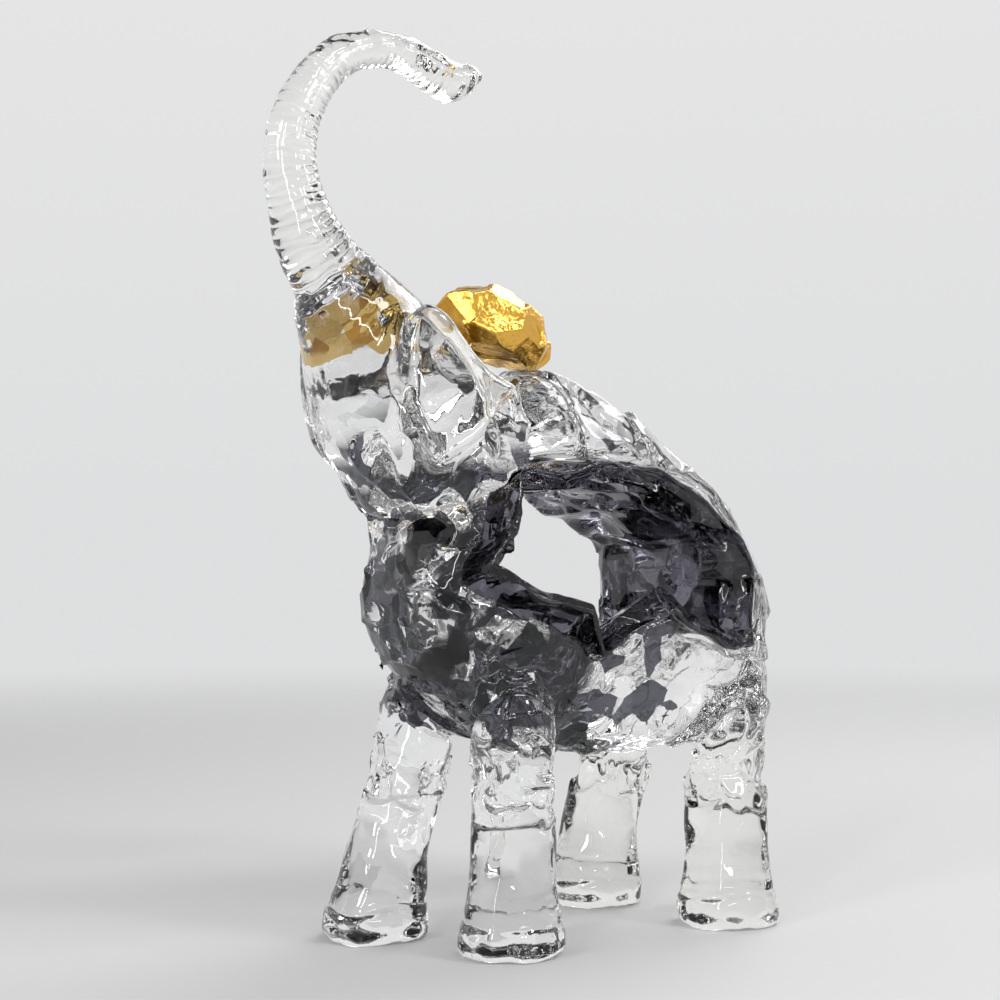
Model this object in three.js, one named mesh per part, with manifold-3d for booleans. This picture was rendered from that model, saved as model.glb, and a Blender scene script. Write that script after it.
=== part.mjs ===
// A standing crystal elephant with its trunk raised, a faceted window cut through its body and a
// gilded nugget behind its crown. It is built as bonded castings: torso, head, trunk, ears, tail and
// legs of clear crystal, and a ring of smoke-tinted crystal that lines the window.
// Millimetres, +Z up. The elephant faces -X, and its left flank faces -Y.
import * as THREE from "three";
import { ConvexGeometry } from "three/addons/geometries/ConvexGeometry.js";
import { mergeVertices } from "three/addons/utils/BufferGeometryUtils.js";
import Module from "manifold-3d";

const wasm = await Module();
wasm.setup();

// ---- Driving dimensions -------------------------------------------------------------------------
const BOND_GAP = 0.3; // glue line between two bonded castings

const TORSO_LENGTH = 191; // chest to rump
const TORSO_MIDDLE_X = 9.5; // middle of that length
const TORSO_WIDTH = 104;
const TORSO_HEIGHT = 158; // belly to withers
const BELLY_HEIGHT = 70; // belly above the ground
const TORSO_END_POWER = 3.1; // how blunt the chest and rump are: 2 is an ellipse
const CHEST_X = TORSO_MIDDLE_X - TORSO_LENGTH / 2;
const RUMP_X = TORSO_MIDDLE_X + TORSO_LENGTH / 2;
const WITHERS_HEIGHT = BELLY_HEIGHT + TORSO_HEIGHT;

const HEAD_WIDTH = 74; // across the cheeks
const NECK_WIDTH = 86;
const CREST_PINCH = 0.3; // how much narrower the neck is along its crest
const TRUNK_BASE_RADIUS = 15.5;
const TRUNK_MIDDLE_RADIUS = 9.4;
const TRUNK_TIP_RADIUS = 9.2;
const TIP_LEAN = 0.75; // how far the upper lip reaches past the lower one, per mm of height
const NOSTRIL_RADIUS = 5;
const NOSTRIL_DEPTH = 7;

const LEG_RADIUS = 17.2; // at the shin
const THIGH_RADIUS = 19.5; // where the leg meets the belly
const FOOT_RADIUS = 21.6;
const SOLE_ROUNDING = 2.2;
const HIP_RISE = 42; // how far a leg reaches up beside the belly
const FRONT_STANCE = 29.5; // front feet on either side of the middle plane
const REAR_STANCE = 35;

const EAR_THICKNESS = 7;
const EAR_BEVEL = 2.6;
const EAR_SWEEP = THREE.MathUtils.degToRad(15); // how far an ear stands off the neck

const TAIL_RADIUS = 4.6;
const TAIL_TUFT_RADIUS = 6.2;

const WINDOW_LENGTH = 136;
const WINDOW_HEIGHT = 96;
const WINDOW_MIDDLE = [TORSO_MIDDLE_X - 7.5, BELLY_HEIGHT + TORSO_HEIGHT / 2 - 2];
const LINING_WALL = 4; // thickness of the smoke-tinted ring
const NUGGET_LENGTH = 58;
const NUGGET_WIDTH = 42;
const NUGGET_HEIGHT = 32;
const NUGGET_TILT = THREE.MathUtils.degToRad(14); // tail end down
const NUGGET_CENTRE = new THREE.Vector3(CHEST_X + 57, 0, WITHERS_HEIGHT + 19);

// ---- Solids -------------------------------------------------------------------------------------
// A geometry whose vertices are shared, as a manifold-3d solid facing out.
function solid(geometry) {
  const bare = new THREE.BufferGeometry();
  bare.setAttribute("position", geometry.getAttribute("position"));
  bare.setIndex(geometry.index);
  const merged = mergeVertices(bare, 1e-4);
  return new wasm.Manifold(
    new wasm.Mesh({
      numProp: 3,
      vertProperties: new Float32Array(merged.getAttribute("position").array),
      triVerts: new Uint32Array(merged.index.array),
    }),
  );
}

function geometryOf(manifold) {
  const mesh = manifold.getMesh();
  const geometry = new THREE.BufferGeometry();
  geometry.setAttribute("position", new THREE.BufferAttribute(mesh.vertProperties, 3));
  geometry.setIndex(new THREE.BufferAttribute(mesh.triVerts, 1));
  geometry.computeVertexNormals();
  return geometry;
}

// Joins equal loops of points into one closed skin. Each end is filled by triangulating its loop.
function loft(rings) {
  const count = rings[0].length;
  const points = rings.flat();
  const faces = [];
  for (let i = 0; i + 1 < rings.length; i++) {
    for (let j = 0; j < count; j++) {
      const a = i * count + j;
      const b = i * count + ((j + 1) % count);
      faces.push(a, b, b + count, a, b + count, a + count);
    }
  }
  for (const last of [false, true]) {
    const ring = last ? rings.at(-1) : rings[0];
    const start = last ? points.length - count : 0;
    for (const [a, b, c] of fillLoop(ring)) {
      faces.push(...(last ? [start + a, start + b, start + c] : [start + a, start + c, start + b]));
    }
  }
  const geometry = new THREE.BufferGeometry().setFromPoints(points);
  if (signedVolume(points, faces) < 0) faces.reverse();
  geometry.setIndex(faces);
  return geometry;
}

// Triangles that fill a nearly flat loop, wound the way the loop runs.
function fillLoop(ring) {
  const normal = new THREE.Vector3();
  ring.forEach((p, i) => normal.add(p.clone().cross(ring[(i + 1) % ring.length])));
  normal.normalize();
  const across = ring[1].clone().sub(ring[0]).normalize();
  const up = normal.clone().cross(across);
  const flat = ring.map((p) => new THREE.Vector2(p.dot(across), p.dot(up)));
  return THREE.ShapeUtils.triangulateShape(flat, []);
}

function signedVolume(points, faces) {
  let six = 0;
  for (let i = 0; i < faces.length; i += 3) {
    const [a, b, c] = [points[faces[i]], points[faces[i + 1]], points[faces[i + 2]]];
    six += a.dot(b.clone().cross(c));
  }
  return six / 6;
}

// Smooth values between rows of [position, value, value, ...].
function smoothRows(rows) {
  const positions = new Float32Array(rows.map((row) => row[0]));
  const values = new Float32Array(rows.flatMap((row) => row.slice(1)));
  const spline = new THREE.CubicInterpolant(positions, values, rows[0].length - 1);
  return (at) => Array.from(spline.evaluate(at));
}

// A point of a superellipse with half-axes a and b. Power 2 is an ellipse.
function superellipse(angle, a, b, power) {
  const round = (v) => Math.sign(v) * Math.abs(v) ** (2 / power);
  return [a * round(Math.cos(angle)), b * round(Math.sin(angle))];
}

function angles(count) {
  return Array.from({ length: count }, (_, j) => (2 * Math.PI * j) / count);
}

// ---- Torso --------------------------------------------------------------------------------------
const TORSO_RINGS = 27;
const TORSO_SIDES = 32;
const SECTION_POWER = 2.4; // the barrel's section, a little squarer than an ellipse
const END_RING = 0.47 * Math.PI; // rings crowd towards the chest and rump as a sine does
// Share of the half length from the middle: belly and back as shares of the height, share of the width.
const barrel = smoothRows([
  [-1, 0.17, 0.66, 0.86],
  [-0.7, 0.08, 0.9, 0.95],
  [-0.4, 0.02, 1.03, 1],
  [-0.1, 0, 1, 1],
  [0.4, -0.01, 0.86, 1],
  [0.7, -0.01, 0.74, 0.98],
  [1, 0.02, 0.62, 0.93],
]);

// The barrel, made larger all round by grow.
function torsoBlank(grow = 0) {
  const half = TORSO_LENGTH / 2;
  const rings = [];
  for (let i = 0; i < TORSO_RINGS; i++) {
    const t = Math.sin(((i / (TORSO_RINGS - 1)) * 2 - 1) * END_RING);
    const round = (1 - Math.abs(t) ** TORSO_END_POWER) ** (1 / TORSO_END_POWER);
    const [belly, back, wide] = barrel(t);
    const x = TORSO_MIDDLE_X + (half + grow) * t;
    const middleZ = BELLY_HEIGHT + (TORSO_HEIGHT * (belly + back)) / 2;
    const halfHeight = (TORSO_HEIGHT * (back - belly)) / 2;
    rings.push(
      angles(TORSO_SIDES).map((angle) => {
        const [y, z] = superellipse(
          angle,
          (TORSO_WIDTH / 2) * wide * round + grow,
          halfHeight * round + grow,
          SECTION_POWER,
        );
        return new THREE.Vector3(x, y, middleZ + z);
      }),
    );
  }
  return solid(loft(rings));
}

// ---- Window through the torso, and the ring that lines it ---------------------------------------
// Corners of the window on three planes across the body, from its front tip and round by its sill,
// as per cent of the window's length and height from its middle.
const WINDOW_LEFT = [
  [-47, 5], [-35, -6], [-17, -17], [-12, -33], [14, -14], [26, -27],
  [50, -34], [49, 14], [26, 35], [4, 48], [-37, 41], [-40, 20],
];
const WINDOW_INSIDE = [
  [-50, -7], [-43, -35], [-24, -50], [-3, -48], [16, -38], [32, -35],
  [47, -21], [45, 12], [28, 33], [0, 50], [-32, 44], [-47, 22],
];
const WINDOW_RIGHT = [
  [-44, 3], [-34, -28], [-15, -39], [4, -36], [22, -21], [35, -29],
  [46, -25], [47, 11], [29, 30], [6, 42], [-29, 38], [-38, 24],
];
const WINDOW_PLANES = [-0.7, -0.43, 0, 0.43, 0.7]; // shares of the torso's width
const WINDOW_OUTLINES = [WINDOW_LEFT, WINDOW_LEFT, WINDOW_INSIDE, WINDOW_RIGHT, WINDOW_RIGHT];

// An outline at its real size, with each edge moved out by distance, or in where it is negative.
function offsetOutline(outline, distance) {
  const points = outline.map(
    ([x, z]) =>
      new THREE.Vector2(
        WINDOW_MIDDLE[0] + (WINDOW_LENGTH * x) / 100,
        WINDOW_MIDDLE[1] + (WINDOW_HEIGHT * z) / 100,
      ),
  );
  const outward = THREE.ShapeUtils.isClockWise(points) ? -1 : 1;
  return points.map((point, i) => {
    const before = points.at(i - 1);
    const after = points[(i + 1) % points.length];
    const inEdge = point.clone().sub(before).normalize();
    const outEdge = after.clone().sub(point).normalize();
    const inNormal = new THREE.Vector2(inEdge.y, -inEdge.x).multiplyScalar(outward);
    const outNormal = new THREE.Vector2(outEdge.y, -outEdge.x).multiplyScalar(outward);
    const corner = inNormal.add(outNormal).normalize();
    return point.clone().addScaledVector(corner, distance / Math.max(0.5, corner.dot(outNormal)));
  });
}

function windowPlug(distance) {
  const rings = WINDOW_PLANES.map((share, i) =>
    offsetOutline(WINDOW_OUTLINES[i], distance).map(
      (p) => new THREE.Vector3(p.x, share * TORSO_WIDTH, p.y),
    ),
  );
  return solid(loft(rings));
}

// ---- Head and neck ------------------------------------------------------------------------------
const HEAD_RINGS = 15;
const HEAD_SIDES = 28;
const HEAD_POWER = 2.1;
// From inside the torso to the root of the trunk: x and z from the top of the chest, half depth in
// the middle plane, half width.
const headAxis = smoothRows([
  [0, 48, -58, 44, NECK_WIDTH * 0.45],
  [0.3, 24, -29, 38.5, NECK_WIDTH * 0.5],
  [0.58, 5, -4, 33, HEAD_WIDTH * 0.5],
  [0.82, -10, 17, 24.5, HEAD_WIDTH * 0.38],
  [1, -23, 32, 17.5, TRUNK_BASE_RADIUS * 1.06],
]);

// A closed skin swept along a curve in the middle plane. shape gives the curve's [x, z, half depth,
// half width] at 0 to 1. lean slants a section, and pinch narrows its upper side.
function sweep(shape, ringCount, sides, power, { grow = 0, lean = () => 0, pinch = 0 } = {}) {
  const step = 1e-3;
  const rings = [];
  for (let i = 0; i < ringCount; i++) {
    const at = i / (ringCount - 1);
    const [x, z, depth, width] = shape(at);
    const before = shape(Math.max(0, at - step));
    const after = shape(Math.min(1, at + step));
    const along = new THREE.Vector3(after[0] - before[0], 0, after[1] - before[1]).normalize();
    const normal = new THREE.Vector3(along.z, 0, -along.x);
    const past = i === 0 ? -grow : i === ringCount - 1 ? grow : 0;
    rings.push(
      angles(sides).map((angle) => {
        const narrowing = 1 - pinch * Math.max(0, Math.cos(angle));
        const [n, b] = superellipse(angle, depth + grow, width * narrowing + grow, power);
        return new THREE.Vector3(x, b, z)
          .addScaledVector(normal, n)
          .addScaledVector(along, past - lean(at) * n);
      }),
    );
  }
  return solid(loft(rings));
}

// A place in the middle plane given from the top of the chest.
const fromChest = (x, z) => [CHEST_X + x, WITHERS_HEIGHT + z];

function headAt(at) {
  const [x, z, depth, width] = headAxis(at);
  return [...fromChest(x, z), depth, width];
}

function headBlank(grow = 0) {
  return sweep(headAt, HEAD_RINGS, HEAD_SIDES, HEAD_POWER, { grow, pinch: CREST_PINCH });
}

// ---- Trunk --------------------------------------------------------------------------------------
const TRUNK_RINGS = 44;
const TRUNK_SIDES = 16;
const ROUND_POWER = 2; // a true ellipse
const NOSTRIL_SIDES = 14;
// The trunk's middle line from the face, up, over and back: [x, z] from the top of the chest.
const TRUNK_LINE = [
  [-13, 24], [-25, 37], [-32, 47], [-38.5, 63], [-40.8, 76], [-39, 91],
  [-31.5, 106], [-18, 119], [-2, 124.6], [14, 123.4], [27.5, 117.8], [41, 114],
];
const trunkLine = middleCurve(TRUNK_LINE.map(([x, z]) => fromChest(x, z)));
const trunkRadius = smoothRows([
  [0, TRUNK_BASE_RADIUS * 1.02],
  [0.1, TRUNK_BASE_RADIUS],
  [0.3, TRUNK_MIDDLE_RADIUS * 1.16],
  [0.5, TRUNK_MIDDLE_RADIUS],
  [0.76, TRUNK_MIDDLE_RADIUS * 0.84],
  [0.92, TRUNK_TIP_RADIUS * 0.94],
  [1, TRUNK_TIP_RADIUS],
]);

function middleCurve(points) {
  return new THREE.CatmullRomCurve3(points.map(([x, z]) => new THREE.Vector3(x, 0, z)));
}

function trunkAt(at) {
  const point = trunkLine.getPointAt(at);
  const [radius] = trunkRadius(at);
  return [point.x, point.z, radius, radius * 0.98];
}

// Only the last tenth of the trunk leans, so that its mouth is cut on a slant.
const tipLean = (at) => TIP_LEAN * THREE.MathUtils.smoothstep(at, 0.86, 1);

function nostril() {
  const tip = trunkLine.getPointAt(1);
  const inward = trunkLine.getTangentAt(1).negate();
  const cone = new THREE.ConeGeometry(NOSTRIL_RADIUS, NOSTRIL_DEPTH * 3, NOSTRIL_SIDES);
  cone.applyQuaternion(
    new THREE.Quaternion().setFromUnitVectors(new THREE.Vector3(0, 1, 0), inward),
  );
  const centre = tip.addScaledVector(inward, -NOSTRIL_DEPTH * 0.5);
  cone.translate(centre.x, centre.y, centre.z);
  return solid(cone);
}

// ---- Legs ---------------------------------------------------------------------------------------
const LEG_SIDES = 20;
const LEG_POWER = 2.2;
const LEG_FLATNESS = 0.96; // width over length of a leg's section
const HIP_HEIGHT = BELLY_HEIGHT + HIP_RISE;

// A leg from the hip [x, y] down to the foot [x, y], with a flat sole on the ground.
function legBlank(hip, foot) {
  // Share of the way from hip to foot at a height, radius at that height, and the sole's rounding.
  const rows = [
    [0, 1, FOOT_RADIUS - SOLE_ROUNDING],
    [SOLE_ROUNDING * 0.4, 1, FOOT_RADIUS - SOLE_ROUNDING * 0.3],
    [SOLE_ROUNDING * 1.4, 1, FOOT_RADIUS],
    [HIP_HEIGHT * 0.09, 0.99, FOOT_RADIUS * 0.985],
    [HIP_HEIGHT * 0.17, 0.92, LEG_RADIUS * 1.1],
    [HIP_HEIGHT * 0.29, 0.78, LEG_RADIUS * 0.99],
    [HIP_HEIGHT * 0.43, 0.58, LEG_RADIUS * 0.97],
    [HIP_HEIGHT * 0.57, 0.38, LEG_RADIUS * 1.03],
    [HIP_HEIGHT * 0.71, 0.2, THIGH_RADIUS],
    [HIP_HEIGHT * 0.84, 0.08, THIGH_RADIUS * 1.04],
    [HIP_HEIGHT * 0.95, 0.02, THIGH_RADIUS * 0.86],
    [HIP_HEIGHT, 0, THIGH_RADIUS * 0.5],
  ];
  const rings = rows.map(([z, share, radius]) => {
    const x = THREE.MathUtils.lerp(hip[0], foot[0], share);
    const y = THREE.MathUtils.lerp(hip[1], foot[1], share);
    return angles(LEG_SIDES).map((angle) => {
      const [dx, dy] = superellipse(angle, radius, radius * LEG_FLATNESS, LEG_POWER);
      return new THREE.Vector3(x + dx, y + dy, z);
    });
  });
  return solid(loft(rings));
}

const LEG_SPREAD = TORSO_WIDTH * 0.3; // hips on either side of the middle plane
const LEGS = {
  left_front_leg: { hip: [CHEST_X + 42, -LEG_SPREAD], foot: [CHEST_X + 42, -FRONT_STANCE] },
  right_front_leg: { hip: [CHEST_X + 44, LEG_SPREAD], foot: [CHEST_X + 17, FRONT_STANCE] },
  left_rear_leg: { hip: [RUMP_X - 37, -LEG_SPREAD], foot: [RUMP_X - 39, -REAR_STANCE] },
  right_rear_leg: { hip: [RUMP_X - 39, LEG_SPREAD], foot: [RUMP_X - 55, REAR_STANCE] },
};

// ---- Ears ---------------------------------------------------------------------------------------
// Outline seen from the flank, from the upper root round the tip to the throat, as x and z from the
// top of the chest.
const EAR_ROOT_X = -14;

function earShape() {
  const shape = new THREE.Shape();
  shape.moveTo(-5, 22);
  shape.quadraticCurveTo(3, 22, 11, 10);
  shape.quadraticCurveTo(19, -2, 34, -9);
  shape.quadraticCurveTo(24, -24, 3, -34);
  shape.quadraticCurveTo(-7, -26, -10, -6);
  shape.quadraticCurveTo(-12, 13, -5, 22);
  return shape;
}

// side is -1 for the left ear and 1 for the right. The ear swings out about its root on the cheek.
function earBlank(side) {
  const geometry = new THREE.ExtrudeGeometry(earShape(), {
    depth: EAR_THICKNESS - 2 * EAR_BEVEL,
    bevelThickness: EAR_BEVEL,
    bevelSize: EAR_BEVEL,
    bevelOffset: -EAR_BEVEL,
    bevelSegments: 3,
    curveSegments: 9,
  });
  geometry.deleteAttribute("normal");
  geometry.deleteAttribute("uv");
  geometry.rotateX(Math.PI / 2);
  geometry.translate(-EAR_ROOT_X, side < 0 ? -EAR_BEVEL : EAR_THICKNESS - EAR_BEVEL, 0);
  geometry.rotateZ(side * EAR_SWEEP);
  const [x, z] = fromChest(EAR_ROOT_X, 0);
  geometry.translate(x, side * HEAD_WIDTH * 0.44, z);
  return solid(mergeVertices(geometry, 1e-4));
}

// ---- Tail ---------------------------------------------------------------------------------------
const TAIL_RINGS = 20;
const TAIL_SIDES = 12;
// It hangs down the rump, from the root to the tuft: x from the rump, share of the torso's height.
const TAIL_LINE = [[-13, 0.59], [-4, 0.555], [2, 0.47], [5, 0.34], [4, 0.21], [-1, 0.12]];
const tailLine = middleCurve(
  TAIL_LINE.map(([x, share]) => [RUMP_X + x, BELLY_HEIGHT + TORSO_HEIGHT * share]),
);
const tailRadius = smoothRows([
  [0, TAIL_RADIUS * 1.5],
  [0.35, TAIL_RADIUS],
  [0.7, TAIL_RADIUS * 0.86],
  [0.88, TAIL_TUFT_RADIUS],
  [1, TAIL_TUFT_RADIUS * 0.35],
]);

function tailAt(at) {
  const point = tailLine.getPointAt(at);
  const [radius] = tailRadius(at);
  return [point.x, point.z, radius, radius * 1.15];
}

// ---- Nugget -------------------------------------------------------------------------------------
// Corners of the rough stone as shares of its half length, half width and half height.
const NUGGET_CORNERS = [
  [-1, -0.25, 0.3], [-0.98, 0.3, 0.1], [-0.86, -0.5, -0.35], [-0.62, 0.75, -0.3],
  [-0.62, -0.7, 0.62], [-0.55, 0.55, 0.78], [-0.2, -0.2, 1], [-0.1, -0.95, 0.4],
  [-0.3, -0.85, -0.62], [-0.35, 0.3, -0.95], [0.05, 1, 0.2], [0.3, 0.4, 0.86],
  [0.3, -0.7, 0.55], [0.42, -0.85, -0.28], [0.35, 0.1, -1], [0.5, 0.85, -0.4],
  [0.82, -0.35, 0.05], [0.98, 0.15, -0.12], [0.95, -0.1, -0.42], [0.62, -0.35, -0.86],
];

function nuggetBlank(grow = 0) {
  const half = new THREE.Vector3(NUGGET_LENGTH, NUGGET_WIDTH, NUGGET_HEIGHT).divideScalar(2);
  half.addScalar(grow);
  const corners = NUGGET_CORNERS.map((c) => new THREE.Vector3(...c).multiply(half));
  const geometry = new ConvexGeometry(corners);
  geometry.deleteAttribute("normal");
  geometry.rotateY(NUGGET_TILT);
  geometry.translate(...NUGGET_CENTRE);
  return solid(mergeVertices(geometry, 1e-4));
}

// ---- Materials ----------------------------------------------------------------------------------
function material(color, roughness, metalness, opacity = 1) {
  return new THREE.MeshStandardMaterial({
    color,
    roughness,
    metalness,
    opacity,
    transparent: opacity < 1,
  });
}

// ---- Assembly -----------------------------------------------------------------------------------
const elephant = new THREE.Group();

function add(name, manifold, finish) {
  const mesh = new THREE.Mesh(geometryOf(manifold), finish);
  mesh.name = name;
  elephant.add(mesh);
}

const clear = material(0xeef0ea, 0.04, 0, 0.4);
const smoke = material(0x4a4a55, 0.08, 0, 0.7);
const gilt = material(0xd9a441, 0.28, 1);

const torsoGrown = torsoBlank(BOND_GAP);
const headGrown = headBlank(BOND_GAP);
const nuggetSeat = nuggetBlank(BOND_GAP);

add(
  "torso",
  torsoBlank().subtract(windowPlug(BOND_GAP)).subtract(nuggetSeat),
  clear,
);
add("window_lining", windowPlug(0).intersect(torsoBlank()).subtract(windowPlug(-LINING_WALL)), smoke);
add("head", headBlank().subtract(torsoGrown).subtract(nuggetSeat), clear);

const trunkBlank = sweep(trunkAt, TRUNK_RINGS, TRUNK_SIDES, ROUND_POWER, { lean: tipLean });
add("trunk", trunkBlank.subtract(headGrown).subtract(nostril()), clear);

for (const [name, side] of [["left_ear", -1], ["right_ear", 1]]) {
  add(name, earBlank(side).subtract(headGrown).subtract(torsoGrown).subtract(nuggetSeat), clear);
}
for (const [name, { hip, foot }] of Object.entries(LEGS)) {
  add(name, legBlank(hip, foot).subtract(torsoGrown), clear);
}
const tailBlank = sweep(tailAt, TAIL_RINGS, TAIL_SIDES, ROUND_POWER);
add("tail", tailBlank.subtract(torsoGrown), clear);
add("gold_nugget", nuggetBlank(), gilt);

// The origin is under the middle of the whole object, on the ground.
const box = new THREE.Box3().setFromObject(elephant);
elephant.position.set(-(box.min.x + box.max.x) / 2, -(box.min.y + box.max.y) / 2, -box.min.z);

export default elephant;
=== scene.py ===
"""Looks of the crystal elephant: wavy, chipped crystal castings, a smoke-tinted window lining and a
gold nugget.

The castings are sculpted as distance fields on a grid round the CAD nodes: blended where they are
bonded, given their chips, waves and folds, and turned back into meshes, one for each casting.
"""
import math

import bpy
import numpy as np
import openvdb as vdb
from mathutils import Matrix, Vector


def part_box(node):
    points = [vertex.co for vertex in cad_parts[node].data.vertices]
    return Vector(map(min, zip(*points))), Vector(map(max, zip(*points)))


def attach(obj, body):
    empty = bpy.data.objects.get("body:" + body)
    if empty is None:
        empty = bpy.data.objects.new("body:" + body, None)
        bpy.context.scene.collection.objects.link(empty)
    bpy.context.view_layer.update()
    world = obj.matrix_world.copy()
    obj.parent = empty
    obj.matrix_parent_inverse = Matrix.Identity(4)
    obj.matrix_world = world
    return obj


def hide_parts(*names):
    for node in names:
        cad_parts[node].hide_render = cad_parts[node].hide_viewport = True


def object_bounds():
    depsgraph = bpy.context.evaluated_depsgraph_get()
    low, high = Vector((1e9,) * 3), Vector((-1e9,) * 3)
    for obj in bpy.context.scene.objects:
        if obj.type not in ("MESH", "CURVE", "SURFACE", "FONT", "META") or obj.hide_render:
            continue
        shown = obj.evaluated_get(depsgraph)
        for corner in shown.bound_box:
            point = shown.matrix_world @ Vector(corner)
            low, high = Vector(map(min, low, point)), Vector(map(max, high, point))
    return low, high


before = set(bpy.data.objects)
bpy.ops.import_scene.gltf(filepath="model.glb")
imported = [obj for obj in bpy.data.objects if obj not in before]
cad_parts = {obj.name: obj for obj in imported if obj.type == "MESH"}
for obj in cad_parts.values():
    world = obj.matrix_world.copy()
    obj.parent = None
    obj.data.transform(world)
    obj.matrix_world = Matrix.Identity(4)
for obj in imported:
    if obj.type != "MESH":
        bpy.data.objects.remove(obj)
cad_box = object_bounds()

MM = 0.001
VOXEL = 0.8  # mm
BAND = round(14 / VOXEL)  # voxels of true distance kept on each side of a node's skin
MARGIN = 7  # mm of grid outside the figure
BOND_GAP = 0.25  # mm between the crystal and the lining
NUGGET_GAP = 0.3  # mm between the crystal and the nugget
BOND_REACH = 0.9  # mm from another piece's skin within which a face counts as bonded
CRYSTAL, BOND = 0, 1  # numbers of the two materials on each bonded piece
rng = np.random.default_rng(11)

LEGS = ("left_front_leg", "right_front_leg", "left_rear_leg", "right_rear_leg")


# ---- Distance fields ----------------------------------------------------------------------------
class Grid:
    """A block of space in mm, on which distance fields are arrays."""

    def __init__(self, box, voxel, margin):
        self.voxel = voxel
        self.first = np.floor((np.array(box[0]) / MM - margin) / voxel).astype(int)
        last = np.ceil((np.array(box[1]) / MM + margin) / voxel).astype(int)
        self.shape = tuple(int(n) for n in last - self.first + 1)
        self.axes = [
            ((self.first[i] + np.arange(self.shape[i])) * voxel).astype(np.float32) for i in range(3)
        ]

    def of_node(self, name):
        """Signed distance to a CAD node, cut off at the band's width."""
        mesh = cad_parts[name].data
        mesh.calc_loop_triangles()
        points = np.empty(len(mesh.vertices) * 3)
        mesh.vertices.foreach_get("co", points)
        corners = np.empty(len(mesh.loop_triangles) * 3, dtype=np.int32)
        mesh.loop_triangles.foreach_get("vertices", corners)
        keys, back = np.unique(np.round(points.reshape(-1, 3) / MM, 3), axis=0, return_inverse=True)
        skin = vdb.FloatGrid.createLevelSetFromPolygons(
            keys.astype(np.float32),
            triangles=back.reshape(-1)[corners].reshape(-1, 3).astype(np.uint32),
            transform=vdb.createLinearTransform(self.voxel),
            halfWidth=BAND,
        )
        field = np.empty(self.shape, dtype=np.float32)
        skin.copyToArray(field, ijk=tuple(int(i) for i in self.first))
        return field

    def near(self, field, reach):
        """Indices of the voxels within reach of a field's skin, and their places."""
        index = np.nonzero(np.abs(field) < reach)
        places = np.stack([self.axes[i][index[i]] for i in range(3)], axis=1)
        return index, places

    def slices(self, box, margin):
        """Slices of the voxels in a box given in metres, and a margin round it."""
        cut = []
        for i in range(3):
            a = int((box[0][i] / MM - margin) / self.voxel) - int(self.first[i])
            b = int((box[1][i] / MM + margin) / self.voxel) - int(self.first[i]) + 1
            cut.append(slice(max(0, a), min(self.shape[i], b)))
        return tuple(cut)

    def block(self, centre, radius):
        """Slices of the voxels in a cube, and their coordinates ready to broadcast."""
        cut = []
        for i in range(3):
            a = int((centre[i] - radius) / self.voxel) - int(self.first[i])
            b = int((centre[i] + radius) / self.voxel) - int(self.first[i]) + 1
            cut.append(slice(max(0, a), max(0, min(self.shape[i], b))))
        x, y, z = (self.axes[i][cut[i]] for i in range(3))
        return tuple(cut), x[:, None, None], y[None, :, None], z[None, None, :]

    def mesh(self, name, field, corner=(0, 0, 0), level=0.0):
        """A closed mesh of the field's skin. The field may be a block that starts at a corner."""
        grid = vdb.FloatGrid(float(BAND * self.voxel))
        first = tuple(int(i) for i in self.first + np.array(corner))
        grid.copyFromArray(np.ascontiguousarray(field), ijk=first)
        grid.transform = vdb.createLinearTransform(self.voxel)
        points, quads = grid.convertToQuads(isovalue=level)
        made = bpy.data.meshes.new(name)
        made.vertices.add(len(points))
        made.vertices.foreach_set("co", (points * MM).astype(np.float32).ravel())
        made.loops.add(quads.size)
        made.loops.foreach_set("vertex_index", quads.astype(np.int32).ravel())
        made.polygons.add(len(quads))
        made.polygons.foreach_set("loop_start", np.arange(0, quads.size, 4, dtype=np.int32))
        made.update(calc_edges=True)
        made.validate()
        return made


def sample(grid, field, places):
    """The field's value at any places, blended from the voxels round them."""
    at = places / grid.voxel - grid.first
    cell = np.floor(at).astype(np.int32)
    cell = np.clip(cell, 0, np.array(grid.shape) - 2)
    t = (at - cell).astype(np.float32)
    total = np.zeros(len(places), dtype=np.float32)
    for i in (0, 1):
        for j in (0, 1):
            for k in (0, 1):
                weight = np.abs(1 - i - t[:, 0]) * np.abs(1 - j - t[:, 1]) * np.abs(1 - k - t[:, 2])
                total += weight * field[cell[:, 0] + i, cell[:, 1] + j, cell[:, 2] + k]
    return total


BLEND_REACH = 8  # mm outside the skins at which a blend ends, short of the band's edge


def smooth_union(a, b, width):
    """Both solids in one, with a fillet about width mm wide where their skins meet."""
    mix = np.maximum(width - np.abs(a - b), 0) / width
    mix[np.minimum(a, b) > BLEND_REACH] = 0
    return np.minimum(a, b) - mix * mix * (width / 4)


def blur(field, sigma):
    """The field averaged over a few voxels, to round off the CAD's flats."""
    reach = int(math.ceil(2.5 * sigma))
    weights = np.exp(-0.5 * (np.arange(-reach, reach + 1) / sigma) ** 2)
    weights = (weights / weights.sum()).astype(np.float32)
    for axis in range(3):
        out = np.zeros_like(field)
        n = field.shape[axis]
        for shift, weight in zip(range(-reach, reach + 1), weights):
            src = [slice(None)] * 3
            dst = [slice(None)] * 3
            src[axis] = slice(max(0, shift), min(n, n + shift))
            dst[axis] = slice(max(0, -shift), min(n, n - shift))
            out[tuple(dst)] += weight * field[tuple(src)]
            if shift:
                edge = [slice(None)] * 3
                edge[axis] = slice(n - shift, n) if shift > 0 else slice(0, -shift)
                out[tuple(edge)] += weight * field[tuple(edge)]
        field = out
    return field


# ---- Noise --------------------------------------------------------------------------------------
LATTICE = 64
lattice = rng.random((LATTICE, LATTICE, LATTICE)).astype(np.float32) * 2 - 1


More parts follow.
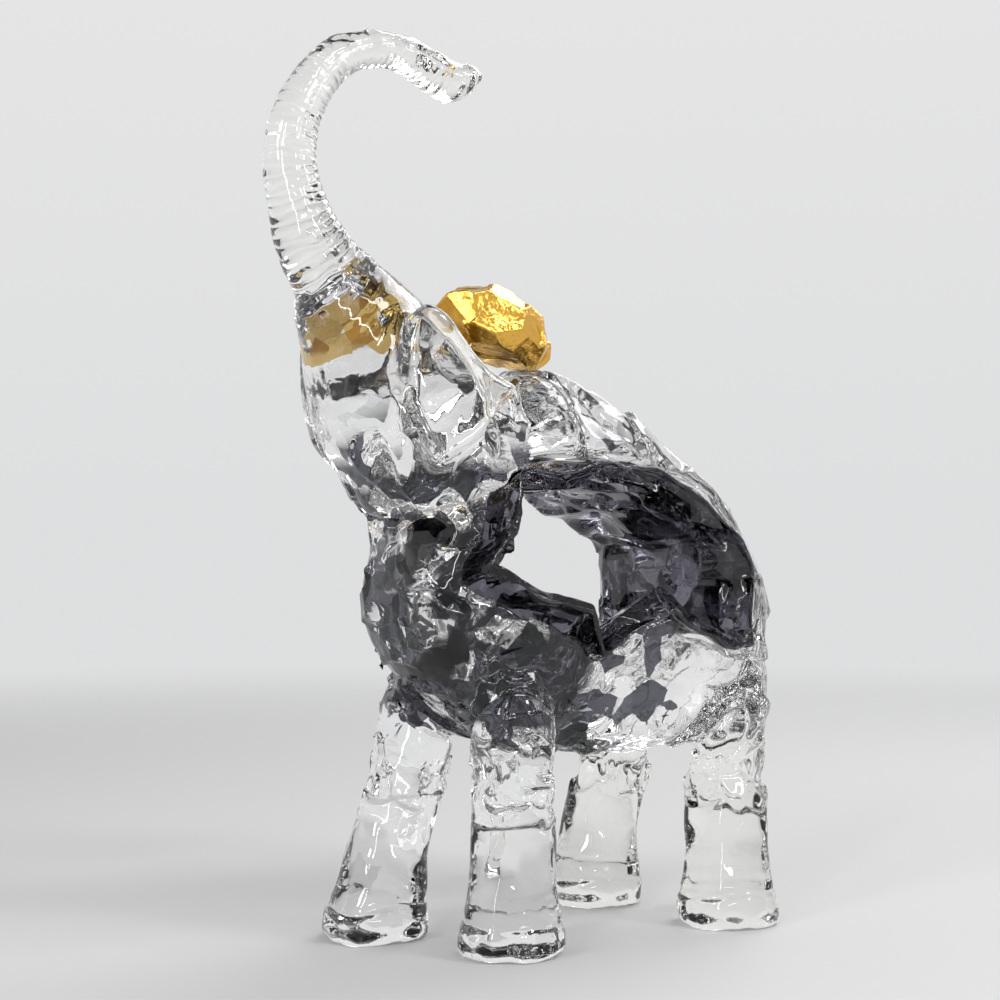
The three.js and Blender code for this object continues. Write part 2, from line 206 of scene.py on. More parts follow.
def noise(places, size, seed=0):
    """Smooth random values from -1 to 1 whose features are about size mm wide, per axis."""
    at = places / np.asarray(size, dtype=np.float32) + np.float32(17.3 * seed + 7.1)
    cell = np.floor(at)
    t = at - cell
    t = t * t * t * (t * (t * 6 - 15) + 10)
    cell = cell.astype(np.int32)
    flat = lattice.ravel()
    wrap = [[(cell[:, i] + d) % LATTICE * LATTICE ** (2 - i) for d in (0, 1)] for i in range(3)]
    total = np.zeros(len(places), dtype=np.float32)
    for i in (0, 1):
        for j in (0, 1):
            row = wrap[0][i] + wrap[1][j]
            lower = flat.take(row + wrap[2][0])
            upper = flat.take(row + wrap[2][1])
            value = lower + (upper - lower) * t[:, 2]
            total += value * (t[:, 0] if i else 1 - t[:, 0]) * (t[:, 1] if j else 1 - t[:, 1])
    return total


def ramp(value, start, end):
    """Rises smoothly from 0 at the start to 1 at the end."""
    t = np.clip((value - start) / (end - start), 0, 1)
    return t * t * (3 - 2 * t)


MOST_CANDIDATES = 9000  # places that a scatter picks from


def scatter(places, spacing):
    """Picks places at random that are at least spacing apart, and gives their rows."""
    rows = rng.choice(len(places), min(len(places), MOST_CANDIDATES), replace=False)
    chosen = []
    while len(rows):
        chosen.append(rows[0])
        gap = np.square(places[rows] - places[rows[0]]).sum(axis=1)
        rows = rows[gap >= spacing * spacing]
    return chosen


def chip(grid, field, base, spacing, reach, depth, tilt, where=None):
    """Cuts flats into a skin: planes near its tangents, each bounded to a patch. base is the smooth
    field that the planes follow. No chip goes deeper under its skin than 1.7 times depth."""
    index, places = grid.near(base, grid.voxel * 0.6)
    if where is not None:
        keep = where(places)
        index = tuple(i[keep] for i in index)
        places = places[keep]
    for r in scatter(places, spacing):
        i, j, k = (int(index[n][r]) for n in range(3))
        if min(i, j, k) < 2 or i > grid.shape[0] - 3 or j > grid.shape[1] - 3 or k > grid.shape[2] - 3:
            continue
        normal = np.array([
            base[i + 2, j, k] - base[i - 2, j, k],
            base[i, j + 2, k] - base[i, j - 2, k],
            base[i, j, k + 2] - base[i, j, k - 2],
        ])
        length = np.linalg.norm(normal)
        if length < 1e-3:
            continue
        normal = normal / length + rng.normal(0, tilt, 3)
        normal /= np.linalg.norm(normal)
        s = places[r]
        size = reach * rng.uniform(0.8, 1.2)
        sink = depth * rng.uniform(0.5, 1.3)
        cut, x, y, z = grid.block(s, size + 2 * sink)
        dx, dy, dz = x - s[0], y - s[1], z - s[2]
        plane = dx * normal[0] + dy * normal[1] + dz * normal[2] + sink
        away = np.sqrt(dx * dx + dy * dy + dz * dz)
        plane = plane - 1.5 * np.maximum(away - size, 0)
        plane = np.minimum(np.minimum(plane, 4 * depth - plane), base[cut] + 1.7 * depth)
        field[cut] = np.maximum(field[cut], plane.astype(np.float32))
    return field


# ---- Trunk's line -------------------------------------------------------------------------------
FOLD_PITCH = 3.6  # mm from one of the trunk's folds to the next
LIP_BULGE = 1.6  # mm by which the tip's lip stands out

# The trunk's middle line from face to tip, as [x, z] in mm from the corner of the trunk's box.
TRUNK_LINE = [
    (38.3, 1.1), (26.3, 14.1), (19.3, 24.1), (12.8, 40.1), (10.5, 53.1), (12.3, 68.1),
    (19.8, 83.1), (33.3, 96.1), (49.3, 101.7), (65.3, 100.5), (78.8, 94.9), (92.3, 91.1),
]


STEPS_A_SPAN = 24  # points worked out between one given point and the next
BATCH = 20000  # places looked up at a time


def trunk_line():
    """Points every 0.7 mm or so along the trunk, their tangents and their distances from the face."""
    corner = np.array(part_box("trunk")[0]) / MM
    knots = np.array([(corner[0] + x, corner[2] + z) for x, z in TRUNK_LINE])
    padded = np.vstack([2 * knots[0] - knots[1], knots, 2 * knots[-1] - knots[-2]])
    rows = []
    for i in range(len(knots) - 1):
        a, b, c, d = padded[i : i + 4]
        for t in np.linspace(0, 1, STEPS_A_SPAN, endpoint=False):
            rows.append(
                0.5 * (2 * b + (c - a) * t + (2 * a - 5 * b + 4 * c - d) * t**2
                       + (3 * b - a - 3 * c + d) * t**3)
            )
    rows.append(knots[-1])
    line = np.array(rows)
    steps = np.linalg.norm(np.diff(line, axis=0), axis=1)
    along = np.concatenate([[0], np.cumsum(steps)])
    tangent = np.gradient(line, axis=0)
    tangent /= np.linalg.norm(tangent, axis=1)[:, None]
    return line, tangent, along


def trunk_frame(places):
    """For places near the trunk: distance along it, its length, how far each place lies towards the
    inside of the curl and to the side, as parts of its distance from the middle line, and that
    distance."""
    line, tangent, along = trunk_line()
    nearest = np.empty(len(places), dtype=np.int64)
    for a in range(0, len(places), BATCH):
        p = places[a : a + BATCH]
        gap = (p[:, None, 0] - line[None, :, 0]) ** 2 + (p[:, None, 2] - line[None, :, 1]) ** 2
        nearest[a : a + BATCH] = gap.argmin(axis=1)
    off_x = places[:, 0] - line[nearest, 0]
    off_z = places[:, 2] - line[nearest, 1]
    slide = off_x * tangent[nearest, 0] + off_z * tangent[nearest, 1]
    inward = off_x * tangent[nearest, 1] - off_z * tangent[nearest, 0]
    radius = np.sqrt(inward**2 + places[:, 1] ** 2) + 1e-3
    return along[nearest] + slide, along[-1], inward / radius, places[:, 1] / radius, radius


# ---- Crystal body -------------------------------------------------------------------------------
def box_mm(name):
    lo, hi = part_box(name)
    return np.array(lo) / MM, np.array(hi) / MM


ROUNDING = 1.8  # mm of blur that takes off the CAD's flats
WINDOW_SWAY = (3.4, 1.5, 3.4)  # mm by which the window's edges wander along x, y and z
SWAY_REACH = 13  # mm from the lining at which the sway has died out
FOOT_GROOVE = 14  # mm above the ground


def warp_window(grid, field, lining):
    """Bends the window's straight edges, the same way for the torso and for the lining."""
    index, places = grid.near(field, 6)
    close = lining[index] < SWAY_REACH
    index = tuple(i[close] for i in index)
    places = places[close]
    weight = 1 - ramp(lining[index], 4, SWAY_REACH)
    sway = np.stack([noise(places, 17, seed) for seed in (21, 22, 23)], axis=1)
    sway *= weight[:, None] * np.array(WINDOW_SWAY, dtype=np.float32)
    field[index] = sample(grid, field.copy(), places + sway)
    return field


def chip_body(grid, body):
    """Flats over the torso, and smaller ones over the chest and belly."""
    chest, _, belly = box_mm("torso")[0]
    nape = box_mm("head")[1][0] - 22

    def on_torso(p):
        x, z = p[:, 0], p[:, 2] - belly
        return (z > 3) & ((z < 118) | (x > nape))

    def on_chest(p):
        x, z = p[:, 0] - chest, p[:, 2] - belly
        return (z > -6) & (z < 100) & ((x < 75) | (z < 45))

    smooth = body.copy()
    body = chip(grid, body, smooth, spacing=17, reach=19, depth=2.0, tilt=0.13, where=on_torso)
    return chip(grid, body, smooth, spacing=9, reach=9, depth=1.7, tilt=0.28, where=on_chest)


def sculpt_body(grid, lining):
    """One field for all the bonded crystal castings, and the torso's own."""
    torso = warp_window(grid, grid.of_node("torso"), lining)
    body = torso
    for name, blend in (("head", 7), *((leg, 8) for leg in LEGS), ("trunk", 6)):
        body = smooth_union(body, grid.of_node(name), blend)
    body = chip_body(grid, blur(body, ROUNDING / grid.voxel))
    body = smooth_union(body, blur(grid.of_node("tail"), 1.0), 4)
    for ear in ("left_ear", "right_ear"):
        cut = grid.slices(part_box(ear), BAND * grid.voxel)
        front, back = (corner[0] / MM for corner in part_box(ear))
        x = grid.axes[0][cut[0]][:, None, None]
        flush = 1 - ramp(x, front + 12, front + 0.95 * (back - front))
        body[cut] = smooth_union(body[cut], blur(grid.of_node(ear)[cut], 2.0), 5 + 9 * flush)
    return body, torso


def detail_body(grid, body):
    """Waves on the legs, torso and head, and the trunk's folds, crease and lip."""
    belly = box_mm("torso")[0][2]
    face, brow = box_mm("head")[0][0], box_mm("head")[1][2]
    index, places = grid.near(body, 3)
    z = places[:, 2]
    shift = np.zeros(len(places), dtype=np.float32)

    # legs: slow waves that run down the leg, and a groove above each foot
    leg = 1 - ramp(z, belly + 4, belly + 30)
    foot = np.exp(-(((z - FOOT_GROOVE - 2.5 * noise(places, 16, 5)) / 1.8) ** 2))
    shift += leg * (1.1 * noise(places, (11, 11, 26), 1) + 0.4 * noise(places, (5, 5, 10), 2))
    shift += 0.7 * foot * leg

    # torso and head: slow waves
    shift += (1 - leg) * (0.5 * noise(places, 14, 3) + 0.15 * noise(places, 5, 4))
    body[index] += shift

    # trunk: folds across its inner side, a crease down each flank and a curled lip
    index, places = grid.near(body, 3)
    keep = (places[:, 2] > brow - 45) & (places[:, 0] < face + 110)
    index = tuple(i[keep] for i in index)
    places = places[keep]
    s, length, inner, side, radius = trunk_frame(places)
    on = ramp(s, -12, 12) * (radius < 26)
    wobble = 1.6 * noise(places, (9, 9, 9), 6)
    fold = np.abs(np.sin(math.pi * (s + wobble) / FOLD_PITCH))
    shift = on * (0.15 + 0.85 * ramp(inner, -0.2, 0.75)) * (0.5 - 0.75 * fold)
    crease = np.exp(-(((inner + 0.15) / 0.09) ** 2)) * (np.abs(side) > 0.5)
    shift += 0.6 * on * crease * ramp(length - s, 6, 25)
    shift += on * 0.35 * noise(places, 6, 7)
    shift -= LIP_BULGE * np.exp(-(((length - 3 - s) / 4) ** 2)) * (radius < 20)
    body[index] += shift.astype(np.float32)
    return body


# ---- Window lining ------------------------------------------------------------------------------
LINING_SWELL = 7  # mm by which the lining is thicker inside the body than at its rims
LINING_CLEARANCE = 0.3  # mm between the lining and the torso's casting round it
LEAST_WALL = 1.9  # mm of the lining beside the torso's casting that no flat cuts away


def sculpt_lining(grid, ring, torso):
    """The smoke-tinted ring, thicker inside the body than at its rims, its inner side cut in flats."""
    # how far in from the body's flanks each place lies
    y = np.abs(grid.axes[1])[None, :, None]
    reach = np.where(np.minimum(torso, ring) < 0, y, 0).max(axis=1)
    widest = reach.max(axis=1, keepdims=True)
    inward = np.where(reach > 0, reach, widest)[:, None, :] - y

    ring = warp_window(grid, ring, ring.copy())
    solid = np.maximum(ring - LINING_SWELL * ramp(inward, 1, 15), LINING_CLEARANCE - torso)
    smooth = blur(solid, 1.2 / grid.voxel)
    solid = np.maximum(smooth, LINING_CLEARANCE - torso)

    def on_inner_side(p):
        return sample(grid, torso, p) > 2.5

    solid = chip(grid, solid, smooth, spacing=13, reach=15, depth=2.0, tilt=0.2, where=on_inner_side)
    return np.minimum(solid, np.maximum(ring, torso - LEAST_WALL))


# ---- Materials ----------------------------------------------------------------------------------
def new_material(name):
    material = bpy.data.materials.new(name)
    material.use_nodes = True
    tree = material.node_tree
    shader = tree.nodes["Principled BSDF"]
    return material, tree, shader


def add_bump(tree, shader, scale, strength, distance, detail=3):
    """Fine unevenness of the skin."""
    place = tree.nodes.new("ShaderNodeTexCoord")
    texture = tree.nodes.new("ShaderNodeTexNoise")
    texture.inputs["Scale"].default_value = scale
    texture.inputs["Detail"].default_value = detail
    bump = tree.nodes.new("ShaderNodeBump")
    bump.inputs["Strength"].default_value = strength
    bump.inputs["Distance"].default_value = distance
    tree.links.new(place.outputs["Object"], texture.inputs["Vector"])
    tree.links.new(texture.outputs["Fac"], bump.inputs["Height"])
    tree.links.new(bump.outputs["Normal"], shader.inputs["Normal"])


def add_flakes(tree, shader, scale, strength, distance):
    """Small sharp-edged hollows, like chipped glass, on top of the bump that is there."""
    place = tree.nodes.new("ShaderNodeTexCoord")
    cells = tree.nodes.new("ShaderNodeTexVoronoi")
    cells.inputs["Scale"].default_value = scale
    bump = tree.nodes.new("ShaderNodeBump")
    bump.inputs["Strength"].default_value = strength
    bump.inputs["Distance"].default_value = distance
    tree.links.new(place.outputs["Object"], cells.inputs["Vector"])
    tree.links.new(cells.outputs["Distance"], bump.inputs["Height"])
    tree.links.new(shader.inputs["Normal"].links[0].from_socket, bump.inputs["Normal"])
    tree.links.new(bump.outputs["Normal"], shader.inputs["Normal"])


def glass(name, tint):
    """Polished lead crystal. Its tint deepens where light crosses it again and again, at the rims."""
    material, tree, shader = new_material(name)
    shader.inputs["Base Color"].default_value = (*tint, 1)
    shader.inputs["Transmission Weight"].default_value = 1
    shader.inputs["Roughness"].default_value = 0.0
    shader.inputs["IOR"].default_value = 1.5
    add_bump(tree, shader, scale=90, strength=0.25, distance=0.0006)
    return material, tree, shader


def range_fade(tree, place, ranges):
    """A factor that rises from 0 to 1 and falls back to 0 over the four places given along an axis."""
    split = tree.nodes.new("ShaderNodeSeparateXYZ")
    tree.links.new(place, split.inputs["Vector"])
    factor = None
    for axis, (start, full, last, end) in ranges.items():
        for edge, outside in ((full, start), (last, end)):
            fade = tree.nodes.new("ShaderNodeMapRange")
            fade.interpolation_type = "SMOOTHSTEP"
            fade.inputs["From Min"].default_value = outside
            fade.inputs["From Max"].default_value = edge
            tree.links.new(split.outputs[axis], fade.inputs["Value"])
            if factor is None:
                factor = fade.outputs["Result"]
                continue
            both = tree.nodes.new("ShaderNodeMath")
            both.operation = "MULTIPLY"
            tree.links.new(factor, both.inputs[0])
            tree.links.new(fade.outputs["Result"], both.inputs[1])
            factor = both.outputs["Value"]
    return factor


PATCHINESS = 1.2  # how far a tinted range breaks up into patches at its ends


def veil(tree, under, ranges, patch, share, colours):
    """Tints the glass in angular patches inside some ranges, from colours[0] to colours[1], over what
    is under them. share is how many of the patches are tinted in the middle of the ranges."""
    place = tree.nodes.new("ShaderNodeTexCoord").outputs["Object"]
    warp = tree.nodes.new("ShaderNodeTexNoise")
    warp.inputs["Scale"].default_value = 0.7 / patch
    bend = tree.nodes.new("ShaderNodeVectorMath")
    bend.operation = "MULTIPLY_ADD"
    bend.inputs[1].default_value = (patch, patch, patch)
    cells = tree.nodes.new("ShaderNodeTexVoronoi")
    cells.inputs["Scale"].default_value = 1 / patch
    tree.links.new(place, warp.inputs["Vector"])
    tree.links.new(warp.outputs["Color"], bend.inputs[0])
    tree.links.new(place, bend.inputs[2])
    tree.links.new(bend.outputs["Vector"], cells.inputs["Vector"])
    chance = tree.nodes.new("ShaderNodeSeparateColor")
    tree.links.new(cells.outputs["Color"], chance.inputs["Color"])
    level = tree.nodes.new("ShaderNodeMath")
    level.operation = "MULTIPLY_ADD"
    level.inputs[1].default_value = PATCHINESS
    tree.links.new(chance.outputs["Red"], level.inputs[0])
    tree.links.new(range_fade(tree, place, ranges), level.inputs[2])
    mask = tree.nodes.new("ShaderNodeMapRange")
    mask.interpolation_type = "SMOOTHSTEP"
    border = 1 + PATCHINESS * (1 - share)
    mask.inputs["From Min"].default_value = border - 0.08
    mask.inputs["From Max"].default_value = border + 0.08
    tree.links.new(level.outputs["Value"], mask.inputs["Value"])
    tone = tree.nodes.new("ShaderNodeMix")
    tone.data_type = "RGBA"
    tone.inputs["A"].default_value = (*colours[0], 1)
    tone.inputs["B"].default_value = (*colours[1], 1)
    tree.links.new(chance.outputs["Green"], tone.inputs["Factor"])
    tint = tree.nodes.new("ShaderNodeMix")
    tint.data_type = "RGBA"
    tint.inputs["A"].default_value = (1, 1, 1, 1)
    if under:
        tree.links.new(under, tint.inputs["A"])
    tree.links.new(mask.outputs["Result"], tint.inputs["Factor"])
    tree.links.new(tone.outputs["Result"], tint.inputs["B"])
    return tint.outputs["Result"]


def smoke_crystal(name, ranges):
    """Smoke-tinted crystal, cloudy from nearly black to grey violet."""
    material, tree, shader = glass(name, (0.1, 0.1, 0.13))
    tint = veil(tree, None, ranges, 0.013, 1.2, ((0.006, 0.006, 0.008), (0.24, 0.235, 0.285)))
    tree.links.new(tint, shader.inputs["Base Color"])
    return material


def bond(name):
    """The glued face between two castings, which light crosses without bending."""
    material, tree, shader = new_material(name)
    clear = tree.nodes.new("ShaderNodeBsdfTransparent")
    tree.links.new(clear.outputs["BSDF"], tree.nodes["Material Output"].inputs["Surface"])
    tree.nodes.remove(shader)
    return material, tree, clear


def smoke_flash(front, rear):
    """The lining's bonded side, flashed with a film of smoke that thins out towards the tail."""
    material, tree, clear = bond("smoke_flash")
    place = tree.nodes.new("ShaderNodeTexCoord")
    split = tree.nodes.new("ShaderNodeSeparateXYZ")
    along = tree.nodes.new("ShaderNodeMapRange")
    along.inputs["From Min"].default_value = front
    along.inputs["From Max"].default_value = rear
    cloud = tree.nodes.new("ShaderNodeTexNoise")
    cloud.inputs["Scale"].default_value = 38
    cloud.inputs["Detail"].default_value = 2
    spread = tree.nodes.new("ShaderNodeMapRange")
    spread.inputs["From Min"].default_value = 0.3
    spread.inputs["From Max"].default_value = 0.7
    spread.inputs["To Min"].default_value = -0.3
    spread.inputs["To Max"].default_value = 0.3
    total = tree.nodes.new("ShaderNodeMath")
    total.operation = "ADD"
    film = tree.nodes.new("ShaderNodeValToRGB")
    film.color_ramp.elements[0].position = 0.1
    film.color_ramp.elements[0].color = (0.06, 0.065, 0.075, 1)
    film.color_ramp.elements[1].position = 1.0
    film.color_ramp.elements[1].color = (0.75, 0.74, 0.81, 1)
    middle = film.color_ramp.elements.new(0.55)
    middle.color = (0.22, 0.215, 0.27, 1)
    tree.links.new(place.outputs["Object"], split.inputs["Vector"])
    tree.links.new(place.outputs["Object"], cloud.inputs["Vector"])
    tree.links.new(split.outputs["X"], along.inputs["Value"])
    tree.links.new(cloud.outputs["Fac"], spread.inputs["Value"])
    tree.links.new(along.outputs["Result"], total.inputs[0])
    tree.links.new(spread.outputs["Result"], total.inputs[1])
    tree.links.new(total.outputs["Value"], film.inputs["Fac"])
    tree.links.new(film.outputs["Color"], clear.inputs["Color"])
    return material


def gold():
    material, tree, shader = new_material("gilt")
    shader.inputs["Metallic"].default_value = 1
    shader.inputs["Roughness"].default_value = 0.16
    shader.inputs["Base Color"].default_value = (0.8, 0.46, 0.09, 1)
    add_bump(tree, shader, scale=350, strength=0.5, distance=0.001, detail=6)
    return material


def studio_floor():
    material, tree, shader = new_material("studio_floor")
    shader.inputs["Base Color"].default_value = (0.58, 0.58, 0.58, 1)
    shader.inputs["Roughness"].default_value = 0.8
    place = tree.nodes.new("ShaderNodeTexCoord")
    length = tree.nodes.new("ShaderNodeVectorMath")
    length.operation = "LENGTH"
    fade = tree.nodes.new("ShaderNodeMapRange")
    fade.interpolation_type = "SMOOTHSTEP"
    fade.inputs["From Min"].default_value = 0.5
    fade.inputs["From Max"].default_value = 1.6
    clear = tree.nodes.new("ShaderNodeBsdfTransparent")
    mix = tree.nodes.new("ShaderNodeMixShader")
    tree.links.new(place.outputs["Object"], length.inputs[0])
    tree.links.new(length.outputs["Value"], fade.inputs["Value"])
    tree.links.new(fade.outputs["Result"], mix.inputs["Fac"])
    tree.links.new(shader.outputs["BSDF"], mix.inputs[1])
    tree.links.new(clear.outputs["BSDF"], mix.inputs[2])
    tree.links.new(mix.outputs["Shader"], tree.nodes["Material Output"].inputs["Surface"])
    return material


# ---- Pieces -------------------------------------------------------------------------------------
def piece(name, mesh, materials, nodes):
    """A visible piece that rides on root and stands for some CAD nodes. Clearing the materials resets
    the number of each face's material, so the numbers are kept and put back."""
    made = bpy.data.objects.new(name, mesh)
    bpy.context.scene.collection.objects.link(made)
    index = np.empty(len(mesh.polygons), dtype=np.int32)
    mesh.polygons.foreach_get("material_index", index)
    mesh.materials.clear()
    for material in materials:
        mesh.materials.append(material)
    mesh.polygons.foreach_set("material_index", index)
    mesh.validate()
    mesh.polygons.foreach_set("use_smooth", [True] * len(mesh.polygons))
    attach(made, "root")
    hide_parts(*nodes)
    return made


def paint_bonds(mesh, grid, field):
    """Gives the faces that lie close to another piece's skin the bond material."""
    count = len(mesh.polygons)
    centres = np.empty(count * 3)
    mesh.polygons.foreach_get("center", centres)
    centres = centres.reshape(-1, 3) / MM
    cell = np.round(centres / grid.voxel).astype(int) - grid.first
    inside = np.all((cell >= 0) & (cell < np.array(grid.shape)), axis=1)
    gap = np.full(count, np.inf)
    cell = cell[inside]
    gap[inside] = field[cell[:, 0], cell[:, 1], cell[:, 2]]
    chosen = np.where(gap < BOND_REACH, BOND, CRYSTAL).astype(np.int32)
    mesh.polygons.foreach_set("material_index", chosen)


def boolean(name, mesh, cutter, operation):
    """The mesh cut by another, whose faces keep their material's number."""
    target = bpy.data.objects.new("target", mesh)
    tool = bpy.data.objects.new("tool", cutter)
    for made in (target, tool):
        bpy.context.scene.collection.objects.link(made)
    cut = target.modifiers.new("cut", "BOOLEAN")
    cut.operation = operation
    cut.solver = "MANIFOLD"
    cut.material_mode = "INDEX"
    cut.object = tool
    graph = bpy.context.evaluated_depsgraph_get()
    result = bpy.data.meshes.new_from_object(target.evaluated_get(graph))
    result.name = name
    bpy.data.objects.remove(target)
    bpy.data.objects.remove(tool)
    return result


def sharpen_seams(mesh):
    """Marks the edges between the crystal's faces and the bond's as sharp."""
    loops = np.empty(len(mesh.loops), dtype=np.int32)
    mesh.loops.foreach_get("edge_index", loops)
    sizes = np.empty(len(mesh.polygons), dtype=np.int32)
    mesh.polygons.foreach_get("loop_total", sizes)
    index = np.empty(len(mesh.polygons), dtype=np.int32)
    mesh.polygons.foreach_get("material_index", index)
    owner = np.repeat(index, sizes)
    low = np.full(len(mesh.edges), BOND, dtype=np.int32)
    high = np.full(len(mesh.edges), CRYSTAL, dtype=np.int32)
    np.minimum.at(low, loops, owner)
    np.maximum.at(high, loops, owner)
    mesh.edges.foreach_set("use_edge_sharp", low != high)


CASTING_GAP = 0.04  # mm that each casting's cut face stands back from the border
CUT_REACH = 6  # mm outside its CAD node at which a casting's cutter ends


def split_castings(grid, mesh, names):
    """Cuts the bonded body into its castings, halfway between the CAD nodes. The first keeps what is
    left when the others have been taken away."""
    fields = {name: grid.of_node(name) for name in names}
    made = {}
    for name in names[1:]:
        cut = grid.slices(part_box(name), BAND * grid.voxel)
        others = np.min([fields[n][cut] for n in names if n != name], axis=0)
        border = np.maximum(fields[name][cut] - others, fields[name][cut] - CUT_REACH)
        corner = [s.start for s in cut]
        inner = grid.mesh("cutter", border, corner, -CASTING_GAP)
        outer = grid.mesh("cutter", border, corner, CASTING_GAP)
        for cutter in (inner, outer):
            cutter.polygons.foreach_set("material_index", [BOND] * len(cutter.polygons))
        made[name] = boolean(name, mesh, inner, "INTERSECT")
        mesh = boolean(names[0], mesh, outer, "DIFFERENCE")
    made[names[0]] = mesh
    return made


torso_low, torso_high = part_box("torso")
window_low, window_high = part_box("window_lining")
crystal = glass("clear_crystal", (1, 0.998, 0.972))[0]


def streaked_crystal(name, front, base):
    """Clear crystal with angular streaks of smoke through the chest and jaw, behind its clear front."""
    material, tree, shader = glass(name, (1, 1, 1))
    rear = window_low[0] + 0.03
    sill, jaw = window_low[2] + 0.05, window_high[2]
    ranges = {
        "X": (front, front + 0.012, rear, rear + 0.1),
        "Z": (base, base + 0.025, sill, jaw + 0.026),
    }
    tint = veil(tree, None, ranges, 0.012, 0.83, ((0.001, 0.002, 0.002), (0.02, 0.02, 0.03)))
    tree.links.new(tint, shader.inputs["Base Color"])
    add_flakes(tree, shader, scale=90, strength=0.3, distance=0.001)
    return material, tree, shader, tint


def crystal_with_painted_gold_reflection(name, base):
    """The head's crystal: smoke in the jaw, and amber patches in the crown that are a painted
    reflection of the gold nugget.
    """
    (face, _, _), (_, _, brow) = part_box("head")
    material, tree, shader, smoky = streaked_crystal(name, face + 0.012, base)
    crown = {"Z": (brow - 0.055, brow - 0.035, brow, brow + 0.01)}
    # painted reflection: amber patches in the crown stand for the gold nugget seen reflected and
    # refracted through the clear crystal
    tint = veil(tree, smoky, crown, 0.011, 0.3, ((0.12, 0.04, 0.002), (0.6, 0.3, 0.03)))
    tree.links.new(tint, shader.inputs["Base Color"])
    return material


belly = torso_low[2]
streaked = streaked_crystal("smoke_streaked_crystal", torso_low[0], belly - 0.01)[0]
hip = streaked_crystal("smoke_streaked_hip", torso_low[0], belly + 0.006)[0]
# the head's crystal, with the gold nugget's reflection painted into its colour as amber patches
head_painted_gold_reflection = crystal_with_painted_gold_reflection("crystal_painted_gold_reflection", belly)
everywhere = {"Z": (torso_low[2] - 0.02, torso_low[2], torso_high[2], torso_high[2] + 0.02)}
smoke = smoke_crystal("smoke_crystal", everywhere)
bond_material = bond("bond")[0]
flash = smoke_flash(window_low[0] * 0.8, window_high[0] * 0.9)

grid = Grid(cad_box, VOXEL, MARGIN)
ring = grid.of_node("window_lining")
body_field, torso_field = sculpt_body(grid, ring)
lining_field = sculpt_lining(grid, ring, torso_field)
body_field = detail_body(grid, body_field)
body_field = np.maximum(body_field, NUGGET_GAP - grid.of_node("gold_nugget"))
body_field = np.maximum(body_field, BOND_GAP - lining_field)
ground = -grid.axes[2][None, None, :]
body_field = np.maximum(body_field, ground)

body_mesh = grid.mesh("crystal", body_field)
paint_bonds(body_mesh, grid, lining_field)
castings = split_castings(
    grid, body_mesh, ("torso", "head", "trunk", "left_ear", "right_ear", "tail", *LEGS)
)
skins = {
    "torso": streaked, "left_front_leg": hip, "right_front_leg": hip, "head": head_painted_gold_reflection,
}
for name, mesh in castings.items():
    skin = skins.get(name, crystal)
    piece("crystal_" + name, mesh, [skin, bond_material], [name])
    sharpen_seams(mesh)
lining_mesh = grid.mesh("smoke_lining", lining_field)
piece("smoke_lining", lining_mesh, [smoke, flash], ["window_lining"])
paint_bonds(lining_mesh, grid, body_field)


# ---- Gold nugget --------------------------------------------------------------------------------
def sculpt_nugget():
    """The CAD nugget, rounded off and cut in flats like hammer marks, on a finer grid of its own."""
    grid = Grid(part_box("gold_nugget"), 0.5, 4)
    field = blur(grid.of_node("gold_nugget"), 3)
    smooth = field - 0.8
    field = chip(grid, smooth.copy(), smooth, spacing=8.5, reach=9, depth=1.1, tilt=0.12)
    index, places = grid.near(field, 2.5)
    shift = 0.2 * noise(places, 4, 8) + 0.1 * noise(places, 1.8, 9)
    field[index] += shift.astype(np.float32)
    return grid, field


nugget_grid, nugget_field = sculpt_nugget()
nugget_mesh = nugget_grid.mesh("hammered_nugget", nugget_field)
piece("hammered_nugget", nugget_mesh, [gold()], ["gold_nugget"])


# ---- Studio -------------------------------------------------------------------------------------
FIGURE_MIDDLE = 0.17  # m above the floor
CAMERA_DISTANCE = 0.8233  # m
CAMERA_ASIDE = -0.0128  # m to the right of the line through the figure's origin
CAMERA_HEIGHT = 0.1676  # m
CAMERA_AZIMUTH = math.radians(37)
CAMERA_RISE = math.radians(0.659)


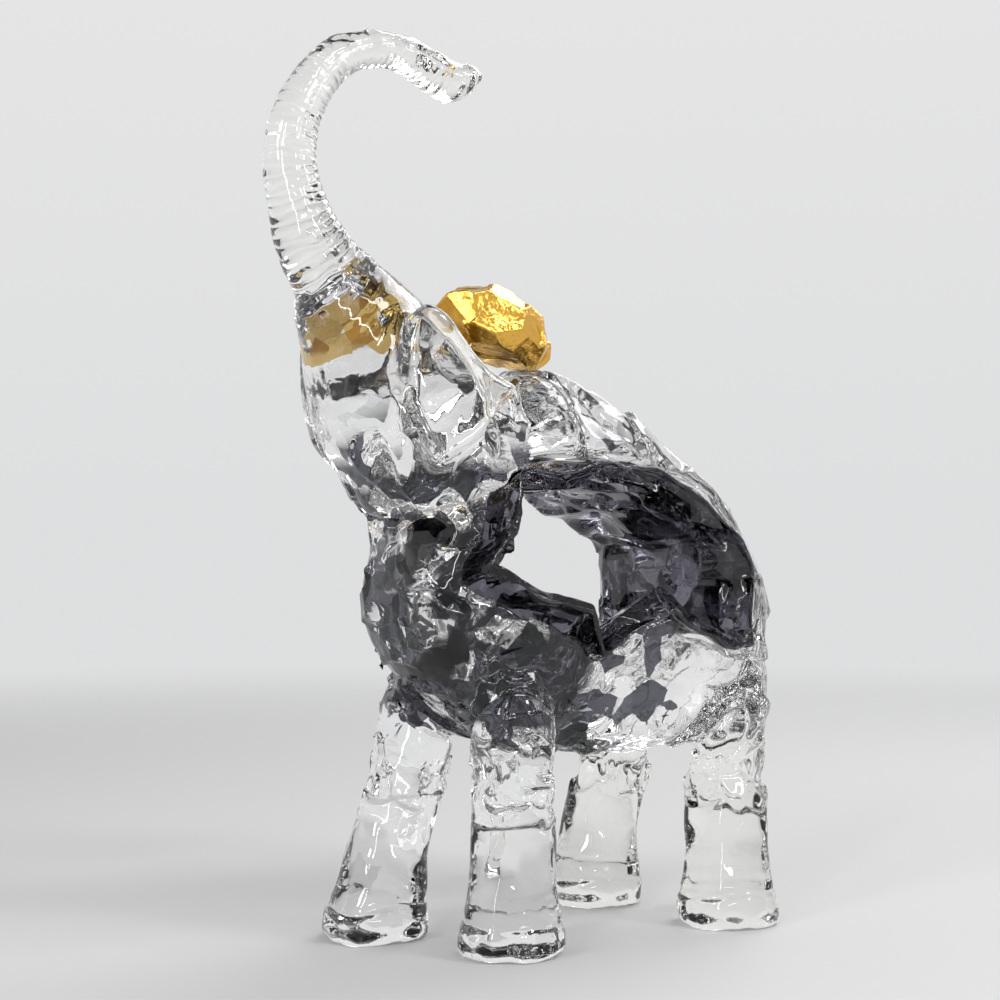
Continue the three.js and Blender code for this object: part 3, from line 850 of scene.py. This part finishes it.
def studio():
    """A pale floor that fades out far off, under a sky that darkens upwards."""
    bpy.ops.mesh.primitive_circle_add(vertices=96, radius=3, fill_type="NGON")
    floor = bpy.context.object
    floor.name = "studio_floor"
    floor.data.materials.append(studio_floor())

    world = bpy.data.worlds.new("studio")
    bpy.context.scene.world = world
    world.use_nodes = True
    tree = world.node_tree
    background = tree.nodes["Background"]
    place = tree.nodes.new("ShaderNodeTexCoord")
    split = tree.nodes.new("ShaderNodeSeparateXYZ")
    sky = tree.nodes.new("ShaderNodeValToRGB")
    tree.links.new(place.outputs["Generated"], split.inputs["Vector"])
    tree.links.new(split.outputs["Z"], sky.inputs["Fac"])
    tree.links.new(sky.outputs["Color"], background.inputs["Color"])
    stops = sky.color_ramp
    stops.elements[0].position = 0.0
    stops.elements[0].color = (0.73, 0.735, 0.74, 1)
    stops.elements[1].position = 1.0
    stops.elements[1].color = (0.25, 0.25, 0.26, 1)
    for position, grey in ((0.35, 0.8), (0.55, 0.62), (0.75, 0.35)):
        stop = stops.elements.new(position)
        stop.color = (grey, grey, grey * 1.01, 1)


def softbox(name, place, size, power):
    """A rectangular light that faces the middle of the figure."""
    light = bpy.data.lights.new(name, "AREA")
    light.shape = "RECTANGLE"
    light.size, light.size_y = size
    light.energy = power
    lamp = bpy.data.objects.new(name, light)
    bpy.context.scene.collection.objects.link(lamp)
    lamp.location = place
    aim = Vector((0, 0, FIGURE_MIDDLE)) - Vector(place)
    lamp.rotation_euler = aim.to_track_quat("-Z", "Y").to_euler()


def camera():
    """Looks at the left flank from ahead of the figure, a little upwards."""
    depth = Vector((math.sin(CAMERA_AZIMUTH), math.cos(CAMERA_AZIMUTH), 0))
    right = Vector((math.cos(CAMERA_AZIMUTH), -math.sin(CAMERA_AZIMUTH), 0))
    data = bpy.data.cameras.new("camera")
    data.lens = 72
    data.sensor_width = 36
    made = bpy.data.objects.new("camera", data)
    bpy.context.scene.collection.objects.link(made)
    made.location = depth * -CAMERA_DISTANCE + right * CAMERA_ASIDE + Vector((0, 0, CAMERA_HEIGHT))
    look = depth + Vector((0, 0, math.tan(CAMERA_RISE)))
    made.rotation_euler = look.to_track_quat("-Z", "Y").to_euler()
    bpy.context.scene.camera = made


studio()
softbox("key", (0.9, 0.3, 1.1), (0.8, 0.8), 9)
softbox("fill", (-1.2, -0.3, 0.7), (0.25, 0.3), 4)
softbox("front", (0.5, -1.3, 0.9), (0.25, 0.25), 5)
softbox("left_strip", (-1.1, -0.75, 0.45), (0.06, 0.9), 3.5)
softbox("top_strip", (0.1, -0.7, 1.2), (0.9, 0.12), 5)
softbox("low_strip", (-0.5, -1.2, 0.3), (0.5, 0.05), 2)
camera()
scene = bpy.context.scene
scene.view_settings.view_transform = "Standard"
scene.cycles.max_bounces = 24
scene.cycles.transmission_bounces = 24
scene.cycles.transparent_max_bounces = 32
scene.cycles.sample_clamp_indirect = 6
